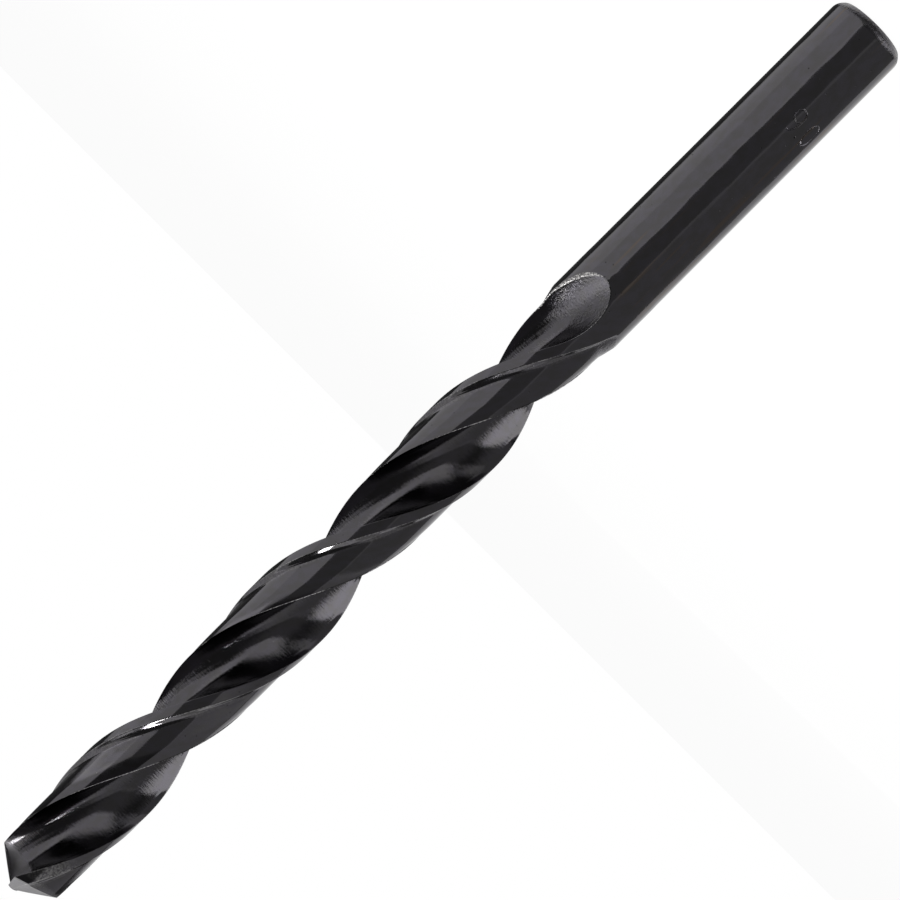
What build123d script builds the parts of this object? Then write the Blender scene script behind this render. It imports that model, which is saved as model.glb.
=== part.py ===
from build123d import *

import os
from math import asin, atan, cos, degrees, radians, sin, sqrt, tan

# A jobber twist drill for metal: one piece of high speed steel. It stands on
# the end face of its shank, with its axis on +Z and its point at the top.
# Driving dimensions are in millimetres and degrees.
overall_length = 125.0
body_diameter = 9.0
shank_diameter = 8.96
shank_chamfer = 0.68
shank_height = 37.0
shank_blend_length = 1.0

# Two right-hand helical flutes either side of a thin web. The grinding wheel
# leaves each one in a rounded scoop at its lower end.
flute_lead_length = 50.3
web_thickness = 1.0
heel_angle = 89.0
heel_lean = 8.0
flute_end_height = 47.3
runout_radius = 14.5
runout_direction = 57.0
runout_length = 9.6
runout_path_share = 0.7
runout_section_count = 7

# Each land keeps the full diameter on a narrow margin behind its cutting
# corner, and is relieved from there to its heel.
margin_angle = 16.1
relief_depth = 0.45
relief_wall_angle = 6.5
relief_past_heel = 12.0
relief_end_height = 43.3
relief_ramp_length = 2.3

# The point: two conical flanks that fall away behind straight lips. It is
# split: a notch beside each lip's inner end leaves a very short chisel edge.
point_angle = 135.0
lip_clearance_slope = 0.26
flank_cone_angle = 66.0
flank_cone_offset = 1.2
notch_offset = 0.03
notch_reach = 1.2
notch_angle = 35.0
notch_opening_angle = 100.0

# How far the cutting shapes run on past the surface that they leave.
cutter_overrun = 1.0
heel_overrun = 0.25
ramp_overrun = 0.05

# Worked out from the dimensions above.
body_radius = body_diameter / 2
shank_radius = shank_diameter / 2
land_radius = body_radius - relief_depth
cutter_radius = body_radius + cutter_overrun
cutter_top = overall_length + cutter_overrun
half_web = web_thickness / 2
half_point = radians(point_angle / 2)
turn_per_mm = 360 / flute_lead_length
rake_radii = (cutter_radius, *(share * body_radius for share in (0.9, 0.58, 0.31, 0.18)))
ON_BASE = (Align.CENTER, Align.CENTER, Align.MIN)


def polar(radius, angle):
    """A point of a cross-section, with its angle measured from the cutting corner."""
    return (radius * cos(radians(angle)), radius * sin(radians(angle)))


def lip_reach(radius):
    """How far out along its lip a point at this radius lies."""
    return sqrt(radius**2 - half_web**2)


def rake_point(radius):
    """Where the lip at this radius winds down to, in the section through its corner."""
    rise = (lip_reach(body_radius) - lip_reach(radius)) / tan(half_point)
    lead = degrees(asin(half_web / radius) - asin(half_web / body_radius))
    return polar(radius, lead - rise * turn_per_mm)


# The first lip lies along -Y. Its flank is a cone that has the lip as a
# straight line of its surface, and falls away behind it.
lip_line = Vector(0, -sin(half_point), -cos(half_point))
flank_normal = Vector(-lip_clearance_slope, -1 / tan(half_point), 1).normalized()
cone_tilt = radians(flank_cone_angle)
cone_axis = lip_line * cos(cone_tilt) - flank_normal * sin(cone_tilt)
cone_apex = Vector(half_web, 0, 0) - lip_line * flank_cone_offset


def chisel_height():
    """The flank's height on the axis, from the height of the lips' inner ends."""
    spread = cos(cone_tilt) ** 2
    a = cone_axis.Z**2 - spread
    b = spread * cone_apex.Z - cone_apex.dot(cone_axis) * cone_axis.Z
    c = cone_apex.dot(cone_axis) ** 2 - spread * cone_apex.dot(cone_apex)
    return min(((-b + side * sqrt(b * b - a * c)) / a for side in (-1, 1)), key=abs)


lip_height = overall_length - chisel_height()
corner_height = lip_height - lip_reach(body_radius) / tan(half_point)
corner_angle = degrees(asin(half_web / body_radius)) - 90

# A notch's bottom runs down and outwards in the plane of the short inner lip.
inner_lip = Vector(half_web - notch_offset, -notch_reach, 0).normalized()
notch_line = inner_lip * sin(radians(notch_angle)) - Vector(0, 0, cos(radians(notch_angle)))
notch_corner = Vector(notch_offset, 0, overall_length)


def section_plane(height, turn=0.0, retreat=0.0):
    """A cross-section's plane, with X towards the first cutting corner there."""
    angle = corner_angle + (height - corner_height) * turn_per_mm + turn
    shift = polar(retreat, angle + runout_direction)
    return Plane((*shift, height), x_dir=(*polar(1, angle), 0), z_dir=(0, 0, 1))


def flute_section(plane):
    """A flute: the face that makes the lip straight, then an arc out to the heel."""
    with BuildSketch(plane, mode=Mode.PRIVATE) as section:
        with BuildLine():
            rake = Spline([rake_point(radius) for radius in rake_radii])
            heel = polar(body_radius + heel_overrun, heel_angle)
            floor = TangentArc(rake @ 1, heel, tangent=rake % 1)
            wall = Line(heel, polar(cutter_radius, heel_angle - heel_lean))
            ThreePointArc(wall @ 1, polar(cutter_radius, heel_angle / 2), rake @ 0)
        make_face()
    return section.sketch


def relief_section(plane, swell=0.0):
    """What is taken off a land, from the wall behind its margin to past its heel."""
    foot_angle = -margin_angle - relief_wall_angle
    past_heel = heel_angle - 180 - relief_past_heel
    outer = cutter_radius + swell
    foot = Vector(*polar(land_radius + swell, foot_angle))
    up_wall = (Vector(*polar(body_radius, -margin_angle)) - Vector(*polar(land_radius, foot_angle)))
    with BuildSketch(plane, mode=Mode.PRIVATE) as section:
        with BuildLine():
            land = CenterArc((0, 0), land_radius + swell, foot_angle, past_heel - foot_angle)
            wall = Line(foot, foot + up_wall.normalized() * (relief_depth + cutter_overrun))
            Line(land @ 1, polar(outer, past_heel))
            ThreePointArc(
                wall @ 1,
                polar(outer, (past_heel - margin_angle) / 2),
                polar(outer, past_heel),
            )
        make_face()
    return section.sketch


def twisted(section, low, high):
    """The section swept up the drill, turning with the helix."""
    path = Line((0, 0, low), (0, 0, high))
    helix = Helix(flute_lead_length, high - low, 1, center=(0, 0, low))
    return sweep(section(section_plane(low)), path, binormal=helix, mode=Mode.PRIVATE)


with BuildPart() as flute:
    # The wheel follows the helix, then runs straight on as it is lifted out.
    # Its path is measured at a middle radius, a share of the body's.
    add(twisted(flute_section, flute_end_height, cutter_top))
    helix_slope = radians(turn_per_mm) * body_radius
    runout = []
    for step in range(runout_section_count):
        drop = runout_length * step / (runout_section_count - 1)
        travel = drop * sqrt(1 + (helix_slope * runout_path_share) ** 2)
        lift = runout_radius - sqrt(runout_radius**2 - travel**2)
        straight = -degrees(atan(drop * helix_slope / body_radius))
        plane = section_plane(
            flute_end_height - drop, turn=straight + drop * turn_per_mm, retreat=lift
        )
        runout.append(flute_section(plane))
    loft(runout)

with BuildPart() as relief:
    # Behind the margin, ending in a short ramp up to the full diameter.
    add(twisted(relief_section, relief_end_height, cutter_top))
    ramp_end = relief_end_height - relief_ramp_length
    loft([
        relief_section(section_plane(relief_end_height)),
        relief_section(section_plane(ramp_end), swell=relief_depth + ramp_overrun),
    ])

with BuildPart() as flank_waste:
    # What grinding one flank takes off the bar: all that stands over its cone.
    with Locations((0, 0, corner_height - body_radius)):
        Cylinder(cutter_radius, overall_length, align=ON_BASE)
    cone_plane = Plane(cone_apex + Vector(0, 0, lip_height), z_dir=cone_axis)
    cone_length = 2 * (flank_cone_offset + body_diameter)
    with Locations(cone_plane):
        Cone(0, cone_length * tan(cone_tilt), cone_length, align=ON_BASE, mode=Mode.SUBTRACT)

with BuildPart() as notch:
    # A straight cut whose steep side makes the inner lip.
    up_side = inner_lip * cos(radians(notch_angle)) + Vector(0, 0, sin(radians(notch_angle)))
    with BuildSketch(Plane(notch_corner, x_dir=up_side, z_dir=notch_line)):
        with BuildLine():
            steep = Line((0, 0), (body_radius, 0))
            back = Line((0, 0), polar(body_radius, -notch_opening_angle))
            Line(steep @ 1, back @ 1)
        make_face()
    extrude(amount=body_diameter)

with BuildPart() as drill_bit:
    # The turned bar: a shank with a chamfered end, and the body's diameter.
    with BuildSketch(Plane.XZ):
        with BuildLine():
            Polyline(
                (0, 0),
                (shank_radius - shank_chamfer, 0),
                (shank_radius, shank_chamfer),
                (shank_radius, shank_height - shank_blend_length),
                (body_radius, shank_height),
                (body_radius, cutter_top),
                (0, cutter_top),
                close=True,
            )
        make_face()
    revolve(axis=Axis.Z)
    # Both flutes, reliefs, flanks and notches, half a turn apart.
    with PolarLocations(0, 2):
        add(flute.part, mode=Mode.SUBTRACT)
        add(relief.part, mode=Mode.SUBTRACT)
        add(flank_waste.part, mode=Mode.SUBTRACT)
        add(notch.part, mode=Mode.SUBTRACT)

drill_bit.part.label = "drill_bit"
os.makedirs("parts", exist_ok=True)
export_step(drill_bit.part, "parts/drill_bit.step")
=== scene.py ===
from math import cos, degrees, pi, radians, sin, sqrt, tan

import bpy
import numpy as np
from mathutils import Matrix, Vector


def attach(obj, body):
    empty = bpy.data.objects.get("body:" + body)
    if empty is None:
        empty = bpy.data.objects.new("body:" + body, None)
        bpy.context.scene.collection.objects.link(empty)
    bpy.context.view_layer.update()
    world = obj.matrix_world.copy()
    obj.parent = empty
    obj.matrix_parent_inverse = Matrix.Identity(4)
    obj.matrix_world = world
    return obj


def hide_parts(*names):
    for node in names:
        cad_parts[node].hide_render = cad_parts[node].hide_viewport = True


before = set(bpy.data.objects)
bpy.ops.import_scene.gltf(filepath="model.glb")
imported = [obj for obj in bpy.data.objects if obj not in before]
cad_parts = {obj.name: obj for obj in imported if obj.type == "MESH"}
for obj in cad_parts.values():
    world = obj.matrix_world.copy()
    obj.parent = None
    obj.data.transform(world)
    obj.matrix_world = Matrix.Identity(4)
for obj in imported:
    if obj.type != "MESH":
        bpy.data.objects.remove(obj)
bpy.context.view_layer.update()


# The flutes and lands. The body is a bar of high speed steel, ground with two
# right-hand flutes. Behind a narrow margin each land is relieved to its heel.
# One half of every cross-section is laid out here, before it is wound round.
body_radius = 0.0045
land_radius = 0.00405
half_web = 0.0005
half_point = radians(135 / 2)
flute_count = 2
flute_lead = 0.0503
turn = 2 * pi / flute_lead
flute_end_height = 0.0473
shank_top = 0.037

# Angles round the section are in degrees from its cutting corner.
heel_angle = 89.0
margin_start = 180 - 16.1
relief_foot = 180 - 22.6


def polar(radius, angle):
    """A point of a cross-section, as a complex number."""
    return radius * np.exp(1j * np.radians(angle))


def lip_reach(radius):
    """How far out along its lip a point at this radius lies."""
    return np.sqrt(radius**2 - half_web**2)


# The wheel's section runs out past the body on both sides of the flute.
rake_outer_radius = 0.0055
rake_inner_radius = 0.00081
heel_reach = 0.00475
wall_past_heel = (0.0001, 0.004)


def flute_line():
    """A flute's section: the rake face that makes the lip straight, the round floor, the heel."""
    radii = np.linspace(rake_outer_radius, rake_inner_radius, 240)
    rise = (lip_reach(body_radius) - lip_reach(radii)) / np.tan(half_point)
    lead = np.arcsin(half_web / radii) - np.arcsin(half_web / body_radius)
    rake = radii * np.exp(1j * (lead - rise * turn))
    heading = (rake[-1] - rake[-2]) / abs(rake[-1] - rake[-2])
    heel = polar(heel_reach, heel_angle)
    chord = heel - rake[-1]
    radius = abs(chord) ** 2 / (2 * (chord * np.conj(1j * heading)).real)
    centre = rake[-1] + 1j * heading * radius
    sweep = np.angle((heel - centre) / (rake[-1] - centre)) % (2 * pi)
    if radius < 0:
        sweep -= 2 * pi
    floor = centre + (rake[-1] - centre) * np.exp(1j * np.linspace(0, sweep, 400))
    way_out = (heel - floor[-2]) / abs(heel - floor[-2])
    return np.concatenate([rake, floor[1:], heel + way_out * np.linspace(*wall_past_heel, 30)])


# The wheel's way out, and the radius at which its path is measured, as a
# share of the body's.
lift_radius = 0.0141
lift_direction = 58
path_share = 0.7


def lifted(line, height):
    """The flute's section where the wheel leaves it straight ahead, rising on a wide arc."""
    drop = max(0.0, flute_end_height - height)
    slope = turn * body_radius
    travel = drop * sqrt(1 + (slope * path_share) ** 2)
    lift = lift_radius - sqrt(lift_radius**2 - travel**2)
    straight = np.exp(1j * (drop * turn - np.arctan(drop * slope / body_radius)))
    return (line + polar(lift, lift_direction)) * straight


# The relief's end: a short ramp, which begins higher and grows longer with
# each step of the way back from the margin.
ramp_height = 0.0412
ramp_step_angle = 18.5
ramp_step_rise = 0.0003
ramp_length = 0.0012
ramp_growth = 0.0005


def relief_radius(height, angle):
    """The land's radius: its relief ends in a short rounded ramp up to the full diameter."""
    steps = np.clip((margin_start - angle) / ramp_step_angle, 0, 4)
    ramp = ramp_length + ramp_growth * np.minimum(steps, 1)
    share = np.clip((ramp_height + ramp_step_rise * steps**1.3 + ramp - height) / ramp, 0, 1)
    return land_radius + (body_radius - land_radius) * share


# How many points each stretch of a half section has, in their order round it.
flute_points, heel_points, land_points, foot_points = 64, 5, 28, 5
wall_points, crest_points, margin_points, corner_points = 5, 3, 18, 3

# What is rounded off each edge. The scooped end of a flute adds to two of
# them, and the radii turn a length along the land into an angle.
corner_round, scoop_corner_round = 0.00004, 0.00008
heel_round, scoop_heel_round = 0.00016, 0.00024
scoop_rounding_height = 0.004
foot_round = 0.00035
crest_round = 0.00007
wall_width = 0.00066
heel_radius = 0.0043
foot_radius = 0.0041

# The land rolls off a little towards its heel.
roll_off_depth = 0.00013
roll_off_angle = 25

# From this radius outwards a flute's floor no longer cuts into the bar.
closed_radius = body_radius * 0.9999


def trimmed(line, start, end):
    """A line with a length taken off its start and its end."""
    length = np.concatenate([[0], np.cumsum(abs(np.diff(line)))])
    at = np.linspace(start, length[-1] - end, flute_points)
    return np.interp(at, length, line.real) + 1j * np.interp(at, length, line.imag)


def rounded(before, corner, after, count):
    """The points between two line ends whose corner is rounded off."""
    t = np.linspace(0, 1, count + 2)[1:-1]
    return before * (1 - t) ** 2 + corner * 2 * t * (1 - t) + after * t**2


def flute_rim(height):
    """The flute's section between its two rims, or the point where its scoop has closed."""
    line = lifted(flute_line(), height)
    low = abs(line).argmin()
    if abs(line[low]) >= closed_radius:
        return np.full(3, polar(body_radius, degrees(np.angle(line[low]))))
    front = next(i for i in range(low, -1, -1) if abs(line[i]) > body_radius)
    t = (body_radius - abs(line[front + 1])) / (abs(line[front]) - abs(line[front + 1]))
    start = line[front + 1] + t * (line[front] - line[front + 1])
    edge = [relief_radius(height, degrees(np.angle(p))) for p in line]
    back = next(i for i in range(low, len(line)) if abs(line[i]) > edge[i])
    t = (edge[back] - abs(line[back - 1])) / (abs(line[back]) - abs(line[back - 1]))
    end = line[back - 1] + t * (line[back] - line[back - 1])
    return np.concatenate([[start], line[front + 1:back], [end]])


def half_section(height):
    """Half a cross-section, from just past one cutting corner to just past the other."""
    rim = flute_rim(height)
    length = abs(np.diff(rim)).sum()
    front, back = degrees(np.angle(rim[0])), degrees(np.angle(rim[-1]))
    scooped = min(1.0, max(0.0, (flute_end_height - height) / scoop_rounding_height))
    corner_cut = min(corner_round + scoop_corner_round * scooped, length / 8)
    heel_cut = min(heel_round + scoop_heel_round * scooped, length / 5)
    flute = trimmed(rim, corner_cut, heel_cut)

    relieved_from = relief_radius(height, relief_foot)
    relief = 1 - (relieved_from - land_radius) / (body_radius - land_radius)
    foot_cut = foot_round * relief
    crest_cut = crest_round * relief
    land_at = np.linspace(
        back + degrees(heel_cut / heel_radius),
        relief_foot - degrees(foot_cut / foot_radius),
        land_points,
    )
    near_heel = np.clip(1 - (land_at - back) / roll_off_angle, 0, 1)
    rolled_off = roll_off_depth * relief * near_heel**2
    land = (relief_radius(height, land_at) - rolled_off) * np.exp(1j * np.radians(land_at))

    foot = polar(relieved_from, relief_foot)
    crest = polar(body_radius, margin_start)
    up_wall = np.linspace(foot_cut / wall_width, 1 - crest_cut / wall_width, wall_points)
    wall = polar(
        abs(foot) + (abs(crest) - abs(foot)) * up_wall,
        relief_foot + (margin_start - relief_foot) * up_wall,
    )
    margin_at = np.linspace(
        margin_start + degrees(crest_cut / body_radius),
        180 + front - degrees(corner_cut / body_radius),
        margin_points,
    )
    margin = polar(body_radius, margin_at)
    return np.concatenate([
        flute,
        rounded(flute[-1], rim[-1], land[0], heel_points),
        land,
        rounded(land[-1], foot, wall[0], foot_points),
        wall,
        rounded(wall[-1], crest, margin[0], crest_points),
        margin,
        rounded(margin[-1], -rim[0], -flute[0], corner_points),
        [-flute[0]],
    ])


# The shank. It is left round, a little under the body's diameter, and its end
# is turned off flat with a chamfer, whose edges are slightly rounded.
shank_radius = 0.00448
chamfer = 0.00068
end_face_radii = (0.0, 0.0012, 0.0024, 0.0034, shank_radius - chamfer - 0.0003)
edge_rounds = (0.00012, 0.0006)
past_chamfer = 0.0009
shank_blend_length = 0.001


def shank_outline():
    """The turned outline, as (radius, height), from the middle of the end face up to the body."""
    outline = [complex(radius, 0) for radius in end_face_radii]
    corners = (complex(shank_radius - chamfer, 0), complex(shank_radius, chamfer))
    ways = (1, (1 + 1j) / sqrt(2), 1j)
    for corner, way_in, way_out, cut in zip(corners, ways, ways[1:], edge_rounds):
        before, after = corner - way_in * cut, corner + way_out * cut
        outline += [before, *rounded(before, corner, after, 5), after]
    straight = np.linspace(chamfer + past_chamfer, shank_top - shank_blend_length, 44)
    return outline + [complex(shank_radius, height) for height in straight]


# The point. Two flanks are ground on cones that fall away behind straight
# lips. Every line that runs up the body ends where it meets the lower flank.
point_height = 0.125
lip_clearance_slope = 0.26
cone_tilt = radians(66)
cone_offset = 0.0012
lip_line = Vector((0, -sin(half_point), -cos(half_point)))
flank_normal = Vector((-lip_clearance_slope, -1 / tan(half_point), 1)).normalized()
cone_axis = lip_line * cos(cone_tilt) - flank_normal * sin(cone_tilt)
cone_apex = Vector((half_web, 0, 0)) - lip_line * cone_offset


def flank_rise(x, y):
    """How high the lower of the two cones stands at a place, over the lips' inner ends."""
    heights = []
    for side in (1, -1):
        dx, dy = side * x - cone_apex.x, side * y - cone_apex.y
        along = dx * cone_axis.x + dy * cone_axis.y
        a = cone_axis.z**2 - cos(cone_tilt) ** 2
        b = along * cone_axis.z
        c = along**2 - cos(cone_tilt) ** 2 * (dx**2 + dy**2)
        heights.append(cone_apex.z - (b + np.sqrt(b * b - a * c)) / a)
    return np.minimum(*heights)


lip_height = point_height - flank_rise(0.0, 0.0)
corner_height = lip_height - lip_reach(body_radius) / tan(half_point)
corner_angle = np.arcsin(half_web / body_radius) - pi / 2


def winding(height):
    """How far round the drill the cutting corner's line has wound at a height."""
    return corner_angle + (np.maximum(height, shank_top) - corner_height) * turn


# The half is one sheet of rows and columns: the end face, the shank, the
# flutes' scooped ends, the fluted body, and rings that close in over the point.
# A scoop ends at the first height where its section is open. The rows stand
# closest there.
heights_to_try = np.arange(0.0376, 0.042, 0.00002)
scoop_end = next(height for height in heights_to_try if len(flute_rim(height)) > 3)
opening_length = 0.0012
under_scoop = 0.00025
scoop_row_step = 0.0002
body_row_step = 0.0004
body_rows_top = 0.1185
opening = scoop_end + opening_length * np.linspace(0, 1, 12) ** 2
row_heights = np.concatenate([
    np.linspace(shank_top, scoop_end - under_scoop, 5),
    opening,
    np.arange(opening[-1] + scoop_row_step, flute_end_height, scoop_row_step),
    np.arange(flute_end_height, body_rows_top, body_row_step),
])
full_section = half_section(0.1)
closed_section = half_section(scoop_end)
closed_start = degrees(np.angle(closed_section[0]))
closed_angles = np.degrees(np.angle(closed_section / closed_section[0])) % 360
closed_angles[-1] = 180
even_angles = np.linspace(0, 180, len(full_section))
evening_length = 0.024


def round_row(radius, height):
    """A half circle under the scoops; its points even out on the way down the shank."""
    share = min(1.0, max(0.0, (scoop_end - height) / evening_length))
    return polar(radius, closed_start + closed_angles * (1 - share) + even_angles * share)


def row(section, height):
    """A row's points, from a section and its height, or the height of each of its points."""
    return np.column_stack([section.real, section.imag, np.zeros(len(section)) + height])


rows = [row(round_row(turned.real, turned.imag), turned.imag) for turned in shank_outline()]
for height in row_heights:
    section = round_row(body_radius, height) if height < scoop_end else half_section(height)
    rows.append(row(section, height))

# The body's lines end on the flank, at heights found in repeated tries. From
# there the rings close in to the axis. Rows crowd together at both ends.
tries = 40
shares_up_to_flank = (*np.linspace(0.06, 0.94, 14), 0.97, 0.99)
shares_over_flank = (1, 0.99, 0.97, 0.92, *np.linspace(0.85, 0.05, 15), 0.02, 0)
flank_heights = np.full(len(full_section), corner_height)
for _ in range(tries):
    spot = full_section * np.exp(1j * winding(flank_heights))
    flank_heights = lip_height + flank_rise(spot.real, spot.imag)
for share in shares_up_to_flank:
    rows.append(row(full_section, row_heights[-1] + (flank_heights - row_heights[-1]) * share))
flank_edge = full_section * np.exp(1j * winding(flank_heights))
for share in shares_over_flank:
    spot = flank_edge * share
    height = lip_height + flank_rise(spot.real, spot.imag)
    rows.append(row(spot * np.exp(-1j * winding(height)), height))

columns = len(full_section)
faces = [
    (r * columns + c, r * columns + c + 1, (r + 1) * columns + c + 1, (r + 1) * columns + c)
    for r in range(len(rows) - 1)
    for c in range(columns - 1)
]
half_mesh = bpy.data.meshes.new("drill_half")
half_mesh.from_pydata(np.concatenate(rows).tolist(), [], faces)
half_mesh.shade_smooth()

# How much each line of the sheet is rubbed: the heel, the margin's two edges,
# the whole margin just behind the point, and the wall behind the margin.
worn_tip_start, worn_tip_fade, worn_tip_end = 0.1175, 0.003, 0.1225
heel_column = flute_points + heel_points // 2
land_end = flute_points + heel_points + land_points - 1
wall_end = land_end + foot_points + wall_points
crest_column = wall_end + crest_points // 2 + 1
corner_column = wall_end + crest_points + margin_points + corner_points
column = np.arange(columns)[None, :]
row_height = np.array([points[:, 2].mean() for points in rows])[:, None]
fluted = row_height > scoop_end
relieved = row_height > ramp_height
from_corner = np.minimum(abs(column - corner_column), column + 1)
near_point = np.clip((row_height - worn_tip_start) / worn_tip_fade, 0, 1) * (row_height < worn_tip_end)
rubbed_lines = (
    np.clip(2.5 - abs(column - heel_column), 0, 1) * fluted,
    0.45 * np.clip(2 - abs(column - crest_column), 0, 1) * relieved,
    0.45 * np.clip(1.5 - from_corner, 0, 1) * fluted,
    0.35 * (column > wall_end) * near_point,
    0.08 * (column >= land_end) * (column < crest_column) * relieved,
)
edge_mark = half_mesh.attributes.new("edge", "FLOAT", "POINT")
rubbed_share = np.maximum.reduce(rubbed_lines).astype(np.float32)
edge_mark.data.foreach_set("value", rubbed_share.ravel())

drill = bpy.data.objects.new("drill_bit_ground", half_mesh)
bpy.context.scene.collection.objects.link(drill)
steel = bpy.data.materials.new("black_oxide_steel")
steel.use_nodes = True


# The winding. The half is wound round the axis at the flutes' lead, set round
# as many times as there are flutes, and joined along its edges.
winder = bpy.data.node_groups.new("wind_flutes", "GeometryNodeTree")
for name, kind in (
    ("Geometry", "NodeSocketGeometry"),
    ("Flutes", "NodeSocketInt"),
    ("Lead", "NodeSocketFloat"),
    ("Corner Angle", "NodeSocketFloat"),
    ("Corner Height", "NodeSocketFloat"),
    ("Shank Top", "NodeSocketFloat"),
    ("Steel", "NodeSocketMaterial"),
):
    winder.interface.new_socket(name, in_out="INPUT", socket_type=kind)
winder.interface.new_socket("Geometry", in_out="OUTPUT", socket_type="NodeSocketGeometry")
tree_in = winder.nodes.new("NodeGroupInput")
tree_out = winder.nodes.new("NodeGroupOutput")


def calculate(operation, first, second):
    """A Math node of the winding, fed by sockets or numbers; returns its result."""
    node = winder.nodes.new("ShaderNodeMath")
    node.operation = operation
    for socket, value in zip(node.inputs, (first, second)):
        if isinstance(value, (int, float)):
            socket.default_value = value
        else:
            winder.links.new(value, socket)
    return node.outputs[0]


# The height over the corner gives the angle that each point is turned by.
place = winder.nodes.new("GeometryNodeInputPosition")
axes = winder.nodes.new("ShaderNodeSeparateXYZ")
winder.links.new(place.outputs[0], axes.inputs[0])
climb = calculate("MAXIMUM", axes.outputs["Z"], tree_in.outputs["Shank Top"])
climb = calculate("SUBTRACT", climb, tree_in.outputs["Corner Height"])
turns = calculate("DIVIDE", climb, tree_in.outputs["Lead"])
angle = calculate("MULTIPLY", turns, 2 * pi)
angle = calculate("ADD", angle, tree_in.outputs["Corner Angle"])
wound = winder.nodes.new("ShaderNodeVectorRotate")
wound.rotation_type = "Z_AXIS"
winder.links.new(place.outputs[0], wound.inputs["Vector"])
winder.links.new(angle, wound.inputs["Angle"])
moved = winder.nodes.new("GeometryNodeSetPosition")
winder.links.new(tree_in.outputs["Geometry"], moved.inputs["Geometry"])
winder.links.new(wound.outputs[0], moved.inputs["Position"])

# One copy for each flute, evenly round the axis.
spots = winder.nodes.new("GeometryNodePoints")
winder.links.new(tree_in.outputs["Flutes"], spots.inputs["Count"])
number = winder.nodes.new("GeometryNodeInputIndex")
step = calculate("DIVIDE", 2 * pi, tree_in.outputs["Flutes"])
facing = winder.nodes.new("ShaderNodeCombineXYZ")
winder.links.new(calculate("MULTIPLY", number.outputs[0], step), facing.inputs["Z"])
copies = winder.nodes.new("GeometryNodeInstanceOnPoints")
winder.links.new(spots.outputs[0], copies.inputs["Points"])
winder.links.new(moved.outputs[0], copies.inputs["Instance"])
winder.links.new(facing.outputs[0], copies.inputs["Rotation"])
real = winder.nodes.new("GeometryNodeRealizeInstances")
winder.links.new(copies.outputs[0], real.inputs[0])
joined = winder.nodes.new("GeometryNodeMergeByDistance")
joined.inputs["Distance"].default_value = 0.000001
winder.links.new(real.outputs[0], joined.inputs["Geometry"])
finish = winder.nodes.new("GeometryNodeSetMaterial")
winder.links.new(joined.outputs[0], finish.inputs["Geometry"])
winder.links.new(tree_in.outputs["Steel"], finish.inputs["Material"])
winder.links.new(finish.outputs[0], tree_out.inputs[0])

windings = drill.modifiers.new("winding", "NODES")
windings.node_group = winder
values = {
    "Flutes": flute_count,
    "Lead": flute_lead,
    "Corner Angle": float(corner_angle),
    "Corner Height": float(corner_height),
    "Shank Top": shank_top,
    "Steel": steel,
}
for item in winder.interface.items_tree:
    if item.in_out == "INPUT" and item.name in values:
        windings[item.identifier] = values[item.name]


def plain_mesh(piece):
    """A piece's mesh as its modifiers, or its curve's bevel, leave it."""
    evaluated = piece.evaluated_get(bpy.context.evaluated_depsgraph_get())
    return bpy.data.meshes.new_from_object(evaluated)


def settle(piece):
    """Turns a piece with its modifiers into a plain mesh."""
    mesh = plain_mesh(piece)
    piece.modifiers.clear()
    piece.data = mesh


bpy.context.view_layer.update()
settle(drill)


# The split point. A straight notch is ground beside each lip's inner end, at
# half a turn from the other, which leaves a very short chisel edge.
notch_offset = 0.00003
notch_reach = 0.0012
notch_angle = radians(35)
notch_opening = radians(100)
notch_size = 0.0045
notch_length = 0.009
inner_lip = Vector((half_web - notch_offset, -notch_reach, 0)).normalized()
notch_line = inner_lip * sin(notch_angle) - Vector((0, 0, cos(notch_angle)))
steep = inner_lip * cos(notch_angle) + Vector((0, 0, sin(notch_angle)))
back = steep * cos(notch_opening) - notch_line.cross(steep) * sin(notch_opening)
notch_corner = Vector((notch_offset, 0, point_height))
wedge = [notch_corner + reach * notch_size for reach in (Vector((0, 0, 0)), steep, back)]
wedge += [corner + notch_line * notch_length for corner in wedge]
wedge_faces = ((0, 2, 1), (3, 4, 5), (0, 1, 4, 3), (1, 2, 5, 4), (2, 0, 3, 5))
half_turn = Matrix.Rotation(pi, 3, "Z")
notch_points = wedge + [half_turn @ corner for corner in wedge]
notch_faces = [tuple(first + i for i in face) for first in (0, len(wedge)) for face in wedge_faces]
notch_mesh = bpy.data.meshes.new("notches")
notch_mesh.from_pydata([tuple(corner) for corner in notch_points], [], notch_faces)


def ground_away(name, shape):
    """Cuts a closed shape out of the drill, and leaves the cut faces in the same steel."""
    shape.materials.clear()
    shape.materials.append(steel)
    cutter = bpy.data.objects.new(name, shape)
    bpy.context.scene.collection.objects.link(cutter)
    cut = drill.modifiers.new(name, "BOOLEAN")
    cut.object = cutter
    cut.operation = "DIFFERENCE"
    cut.solver = "EXACT"
    settle(drill)
    bpy.data.objects.remove(cutter)


ground_away("notches", notch_mesh)


# The size mark. The diameter, 9.0, is engraved in the shank with a round
# cutter. Its strokes are drawn flat, with x along the number, and then bent
# round the shank, tops towards its end.
stroke_depth = 0.0001
number_base = 0.0143
number_start = radians(8.3)
ring = np.exp(2j * pi * np.arange(28) / 28)
tail = np.linspace(0, 1, 14)


def oval(x, y, half_width, half_height):
    """A closed stroke round a place of the number."""
    return x + half_width * ring.real, y + half_height * ring.imag, True


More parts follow.
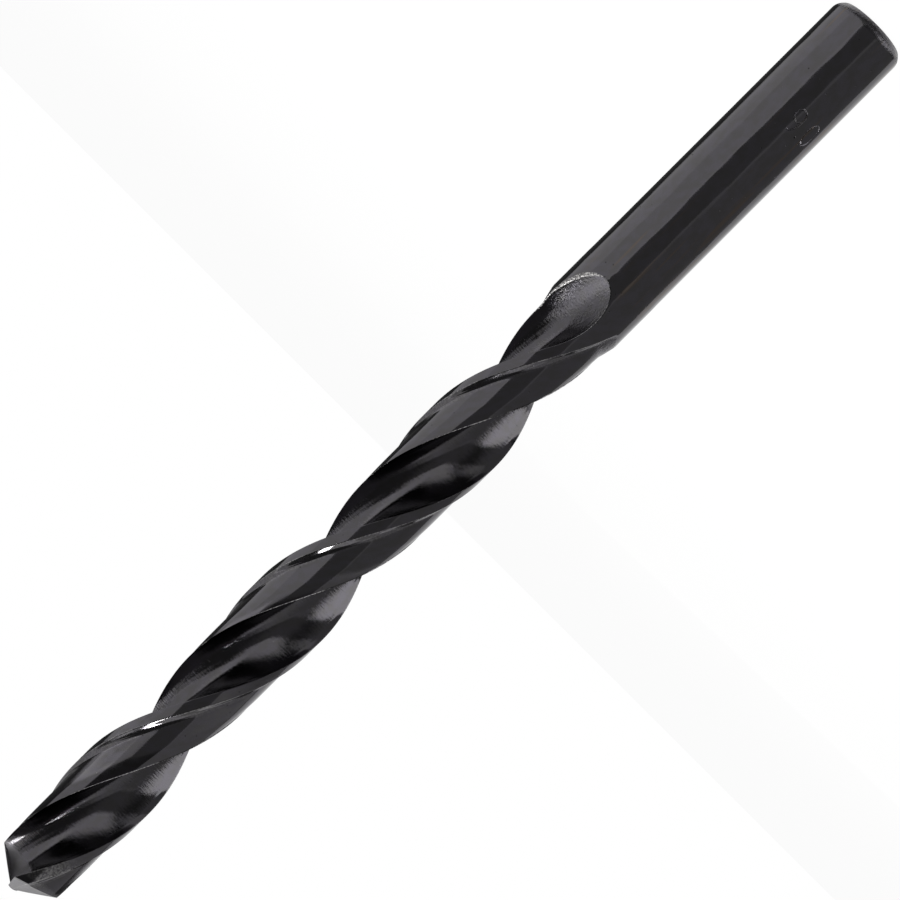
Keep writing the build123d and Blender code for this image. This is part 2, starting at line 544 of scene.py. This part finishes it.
# The nine's bowl, the nought and the point are rings; the nine's tail is open.
strokes = {
    "rings": [
        oval(0.00072, 0.00200, 0.00060, 0.00072),
        oval(0.00316, 0.00140, 0.00064, 0.00132),
        oval(0.00191, 0.00010, 0.00003, 0.00003),
    ],
    "tail": [(0.00132 - 0.00086 * tail**2.4, 0.00200 - 0.00194 * np.sin(tail * pi / 2), False)],
}
for name, lines in strokes.items():
    groove = bpy.data.curves.new(name, "CURVE")
    groove.dimensions = "3D"
    groove.bevel_depth = stroke_depth
    groove.bevel_resolution = 4
    groove.use_fill_caps = True
    for across, up, closed in lines:
        stroke = groove.splines.new("POLY")
        stroke.points.add(len(across) - 1)
        stroke.use_cyclic_u = closed
        for point, x, y in zip(stroke.points, across, up):
            point.co = (x, y, 0, 1)
    mark = bpy.data.objects.new(name, groove)
    bpy.context.scene.collection.objects.link(mark)
    bpy.context.view_layer.update()
    shape = plain_mesh(mark)
    bpy.data.objects.remove(mark)
    for vertex in shape.vertices:
        x, y, z = vertex.co
        round_to = number_start + x / shank_radius
        radius = shank_radius + z
        vertex.co = (-radius * sin(round_to), -radius * cos(round_to), number_base - y)
    ground_away(name, shape)
drill.data.set_sharp_from_angle(angle=radians(30))


# The finish. The whole tool is blackened in steam, which leaves a thin glossy
# oxide: streaked across by the wheel in the flutes, duller in their scooped
# ends, a little wavy on the shank, with pits, dust and rubbed edges.
shader = steel.node_tree.nodes["Principled BSDF"]
oxide = (0.090, 0.087, 0.090)
blue_oxide = (0.098, 0.094, 0.105)
bare_steel = (0.50, 0.49, 0.48)
brown_stain = (0.125, 0.100, 0.082)
pit_black = (0.02, 0.02, 0.02)
mm_per_metre = 1000


def node(kind, **settings):
    """A node of the finish, with its settings."""
    made = steel.node_tree.nodes.new(kind)
    for name, value in settings.items():
        setattr(made, name, value)
    return made


def link(source, target):
    steel.node_tree.links.new(source, target)


def arithmetic(operation, *values):
    """A Math node of the finish, fed by sockets or numbers; returns its result."""
    made = node("ShaderNodeMath", operation=operation)
    for socket, value in zip(made.inputs, values):
        if isinstance(value, (int, float)):
            socket.default_value = value
        else:
            link(value, socket)
    return made.outputs[0]


def noise(source, stretch, detail=3.0, roughness=0.55):
    """A noise with so many patches to the millimetre along each axis."""
    sized = node("ShaderNodeMapping")
    sized.inputs["Scale"].default_value = [mm_per_metre * patches for patches in stretch]
    link(source, sized.inputs["Vector"])
    made = node("ShaderNodeTexNoise")
    made.inputs["Scale"].default_value = 1.0
    made.inputs["Detail"].default_value = detail
    made.inputs["Roughness"].default_value = roughness
    link(sized.outputs[0], made.inputs["Vector"])
    return made.outputs["Fac"]


def between(value, low, high, start=0.0, end=1.0):
    """Maps a value's range smoothly to another."""
    made = node("ShaderNodeMapRange", interpolation_type="SMOOTHSTEP")
    for name, number in (("From Min", low), ("From Max", high), ("To Min", start), ("To Max", end)):
        made.inputs[name].default_value = number
    link(value, made.inputs["Value"])
    return made.outputs[0]


def coat(under, colour, amount):
    """Lays a colour over a colour or a socket, by an amount from 0 to 1; returns the result."""
    layer = node("ShaderNodeMix", data_type="RGBA")
    layer.inputs["B"].default_value = (*colour, 1)
    if isinstance(under, tuple):
        layer.inputs["A"].default_value = (*under, 1)
    else:
        link(under, layer.inputs["A"])
    link(amount, layer.inputs["Factor"])
    return layer.outputs["Result"]


# Where on the tool: the height, the distance from the axis, and a place in
# the section after the winding is taken out, so that marks follow the flutes.
whole = node("ShaderNodeTexCoord").outputs["Object"]
parts = node("ShaderNodeSeparateXYZ")
link(whole, parts.inputs[0])
height_here = parts.outputs["Z"]
squares = [arithmetic("MULTIPLY", parts.outputs[axis], parts.outputs[axis]) for axis in "XY"]
radius_here = arithmetic("SQRT", arithmetic("ADD", *squares))
unwound = node("ShaderNodeVectorRotate", rotation_type="Z_AXIS")
wound_from = arithmetic("MAXIMUM", height_here, shank_top)
wound_up = arithmetic("SUBTRACT", wound_from, float(corner_height))
link(arithmetic("MULTIPLY", wound_up, -turn), unwound.inputs["Angle"])
link(whole, unwound.inputs["Vector"])
in_section = unwound.outputs[0]

# Each zone fades in between two heights or two distances from the axis.
on_body = between(height_here, 0.0375, 0.0395)
off_body = arithmetic("SUBTRACT", 1.0, on_body)
in_flute = arithmetic("MULTIPLY", between(radius_here, 0.0040, 0.0037), on_body)
under_rim = between(radius_here, 0.00449, 0.0044)
in_scoop = arithmetic("MULTIPLY", under_rim, between(height_here, 0.0455, 0.0425))
over_corners = between(height_here, 0.1217, 0.1223)
on_point = arithmetic("MULTIPLY", over_corners, between(radius_here, 0.0044, 0.0036))
on_edge = node("ShaderNodeAttribute", attribute_name="edge").outputs["Fac"]

# What is uneven about the steel, by how fine it is across and along the tool.
mottle = noise(in_section, (1.1, 1.1, 0.8), detail=5.0)
grain = noise(whole, (9.0, 9.0, 9.0), detail=2.0)
cross_streaks = noise(in_section, (0.8, 0.8, 6.5), roughness=0.6)
long_waves = noise(in_section, (0.35, 0.35, 0.16), detail=2.0)
shank_waves = noise(whole, (0.27, 0.27, 0.05))
scoop_roughness = noise(whole, (3.5, 3.5, 3.5), detail=4.0)
edge_dents = noise(in_section, (1.5, 1.5, 3.0))
rub_patches = between(noise(whole, (5.0, 5.0, 5.0)), 0.38, 0.62)
stain_patches = between(noise(whole, (1.1, 1.1, 0.06)), 0.58, 0.68)

# Pits are the nearest of scattered spots, kept only where a cell's own random
# number is high; dust is the same on another grid.
spots_at = node("ShaderNodeMapping")
spots_at.inputs["Scale"].default_value = [mm_per_metre] * 3
link(whole, spots_at.inputs["Vector"])
spotted = {}
for name, per_mm, size, left_out in (("pits", 1.3, 0.12, 0.86), ("dust", 1.9, 0.08, 0.94)):
    cells = node("ShaderNodeTexVoronoi")
    cells.inputs["Scale"].default_value = per_mm
    link(spots_at.outputs[0], cells.inputs["Vector"])
    chance = node("ShaderNodeSeparateColor")
    link(cells.outputs["Color"], chance.inputs[0])
    picked = arithmetic("GREATER_THAN", chance.outputs[0], left_out)
    close = between(cells.outputs["Distance"], size, size * 0.5)
    spotted[name] = arithmetic("MULTIPLY", close, picked)

# The colour, from the oxide up: two shades of it, bare steel where it is
# rubbed or dusty, brown stains along the shank, and dark pits.
colour = coat(oxide, blue_oxide, between(mottle, 0.35, 0.65))
rubbed = arithmetic("MULTIPLY", on_edge, rub_patches)
dusty = arithmetic("MULTIPLY", spotted["dust"], 0.5)
colour = coat(colour, bare_steel, arithmetic("MAXIMUM", rubbed, dusty))
stained = arithmetic("MULTIPLY", arithmetic("MULTIPLY", stain_patches, off_body), 0.7)
colour = coat(colour, brown_stain, stained)
colour = coat(colour, pit_black, arithmetic("MULTIPLY", spotted["pits"], 0.8))
link(colour, shader.inputs["Base Color"])

# The freshly ground point is duller, as are the scoops and the rubbed edges.
less_metallic = arithmetic("MULTIPLY", on_point, 0.6)
link(arithmetic("SUBTRACT", 1.0, less_metallic), shader.inputs["Metallic"])
roughness = between(mottle, 0.3, 0.7, 0.07, 0.12)
for where, rougher in ((in_scoop, 0.18), (on_edge, 0.06), (on_point, 0.35)):
    roughness = arithmetic("ADD", roughness, arithmetic("MULTIPLY", where, rougher))
link(roughness, shader.inputs["Roughness"])

# How high each kind of mark stands, in millimetres.
surface_marks = (
    (long_waves, 0.014),
    (arithmetic("MULTIPLY", cross_streaks, in_flute), 0.018),
    (grain, 0.0003),
    (arithmetic("MULTIPLY", shank_waves, off_body), 0.09),
    (arithmetic("MULTIPLY", scoop_roughness, in_scoop), 0.07),
    (arithmetic("MULTIPLY", edge_dents, on_edge), 0.01),
    (spotted["pits"], -0.01),
)
surface_height = 0.0
for mark, stands in surface_marks:
    surface_height = arithmetic("ADD", surface_height, arithmetic("MULTIPLY", mark, stands))
surface = node("ShaderNodeBump")
surface.inputs["Strength"].default_value = 1.0
surface.inputs["Distance"].default_value = 1 / mm_per_metre
link(surface_height, surface.inputs["Height"])
link(surface.outputs[0], shader.inputs["Normal"])

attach(drill, "root")
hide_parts("drill_bit")


# The bench: a plain top of white paper that the drill stands on. It shows
# almost pure white. The steel doesn't mirror it, and the low lamps shine
# through it.
bench_half_width = 3
paper_white = (0.9, 0.9, 0.9)
glow_share = 0.96
bench_corners = [
    (x * bench_half_width, y * bench_half_width, 0) for x, y in ((-1, -1), (1, -1), (1, 1), (-1, 1))
]
bench_mesh = bpy.data.meshes.new("bench")
bench_mesh.from_pydata(bench_corners, [], [(0, 1, 2, 3)])
bench = bpy.data.objects.new("bench", bench_mesh)
bpy.context.scene.collection.objects.link(bench)
paper = bpy.data.materials.new("white_paper")
paper.use_nodes = True
sheet = paper.node_tree.nodes["Principled BSDF"]
sheet.inputs["Base Color"].default_value = (*paper_white, 1)
sheet.inputs["Roughness"].default_value = 0.9
glow = paper.node_tree.nodes.new("ShaderNodeEmission")
ray = paper.node_tree.nodes.new("ShaderNodeLightPath")
blend = paper.node_tree.nodes.new("ShaderNodeMixShader")
seen = paper.node_tree.nodes.new("ShaderNodeMath")
seen.operation = "MULTIPLY"
seen.inputs[1].default_value = glow_share
paper.node_tree.links.new(ray.outputs["Is Camera Ray"], seen.inputs[0])
paper.node_tree.links.new(seen.outputs[0], blend.inputs[0])
paper.node_tree.links.new(sheet.outputs[0], blend.inputs[1])
paper.node_tree.links.new(glow.outputs[0], blend.inputs[2])
paper.node_tree.links.new(blend.outputs[0], paper.node_tree.nodes["Material Output"].inputs[0])
bench_mesh.materials.append(paper)
bench.visible_glossy = False
bench.visible_shadow = False


# The light. Soft boxes and cards stand round the drill in a dim room that
# shows white behind it. Each is placed by its direction from the drill, the
# angle that it fills and how bright it looks.
dim_room = 0.07
world = bpy.data.worlds.new("room")
bpy.context.scene.world = world
world.use_nodes = True
room = world.node_tree.nodes["Background"]
room.inputs["Color"].default_value = (1, 1, 1, 1)
looking = world.node_tree.nodes.new("ShaderNodeLightPath")
level = world.node_tree.nodes.new("ShaderNodeMapRange")
level.inputs["To Min"].default_value = dim_room
world.node_tree.links.new(looking.outputs["Is Camera Ray"], level.inputs["Value"])
world.node_tree.links.new(level.outputs[0], room.inputs["Strength"])

drill_middle = Vector((0, 0, point_height / 2))


def softbox(name, shape, azimuth, elevation, wide, high, brightness):
    """An area lamp a metre from the drill's middle; angles in degrees, from the camera's side."""
    away = Vector((
        cos(radians(elevation)) * sin(radians(azimuth)),
        -cos(radians(elevation)) * cos(radians(azimuth)),
        sin(radians(elevation)),
    ))
    lamp = bpy.data.lights.new(name, "AREA")
    lamp.shape = shape
    lamp.size, lamp.size_y = (2 * tan(radians(angle / 2)) for angle in (wide, high))
    area = lamp.size * lamp.size_y * (pi / 4 if shape == "ELLIPSE" else 1)
    lamp.energy = brightness * pi * area
    holder = bpy.data.objects.new(name, lamp)
    holder.location = drill_middle + away
    holder.rotation_euler = away.to_track_quat("Z", "Y").to_euler()
    holder.visible_camera = False
    bpy.context.scene.collection.objects.link(holder)


softbox("head_umbrella", "ELLIPSE", 0, 88, 84, 84, 2.0)
softbox("head_lamp", "RECTANGLE", -41, 41, 14, 6, 40.0)
softbox("head_card", "RECTANGLE", -88, 33, 66, 24, 0.45)
softbox("head_card_front", "RECTANGLE", -66, 37, 36, 20, 0.4)
softbox("side_box_low", "RECTANGLE", 73, -11, 104, 42, 0.78)
softbox("side_box_bright", "RECTANGLE", 97, -5, 50, 28, 0.18)
softbox("side_box_high", "RECTANGLE", 76, 27, 58, 38, 0.76)
softbox("side_box_corner", "RECTANGLE", 33, 37, 20, 14, 0.55)
softbox("foot_umbrella", "ELLIPSE", -65, -38, 66, 30, 1.9)
softbox("foot_card", "RECTANGLE", 10, -55, 60, 26, 0.18)
softbox("foot_card_side", "RECTANGLE", 32, -42, 18, 18, 0.3)
softbox("front_card", "RECTANGLE", -4, -8, 56, 34, 0.12)
softbox("left_card", "RECTANGLE", -74, -9, 92, 30, 0.21)
softbox("left_card_high", "RECTANGLE", -74, 14, 90, 18, 0.36)
softbox("rear_card", "RECTANGLE", -150, -6, 58, 32, 0.9)
softbox("back_wall", "RECTANGLE", 180, 50, 110, 56, 0.7)
softbox("back_floor", "RECTANGLE", 180, -55, 100, 56, 1.0)


# The camera stands nearly level with the drill's middle, rolled so that the
# drill crosses the picture from corner to corner.
camera = bpy.data.objects.new("camera", bpy.data.cameras.new("camera"))
camera.data.sensor_width = 36
camera.data.lens = 145.296
distance = 0.37338
pitch = radians(2)
yaw = radians(-2)
aim_height = 0.06105
slide_along, slide_across = 0.00054, 0.000033
backwards = Vector((0, -cos(pitch), sin(pitch)))
along = -Vector((0, sin(pitch), cos(pitch)))
across = Vector((-1, 0, 0))
right = (along + across) / sqrt(2)
upwards = (along - across) / sqrt(2)
stand = Vector((0, 0, aim_height)) + backwards * distance
stand -= along * slide_along + across * slide_across
camera.matrix_world = Matrix.Rotation(yaw, 4, "Z") @ Matrix((
    (right.x, upwards.x, backwards.x, stand.x),
    (right.y, upwards.y, backwards.y, stand.y),
    (right.z, upwards.z, backwards.z, stand.z),
    (0, 0, 0, 1),
))
bpy.context.scene.collection.objects.link(camera)
bpy.context.scene.camera = camera
bpy.context.scene.view_settings.view_transform = "Standard"
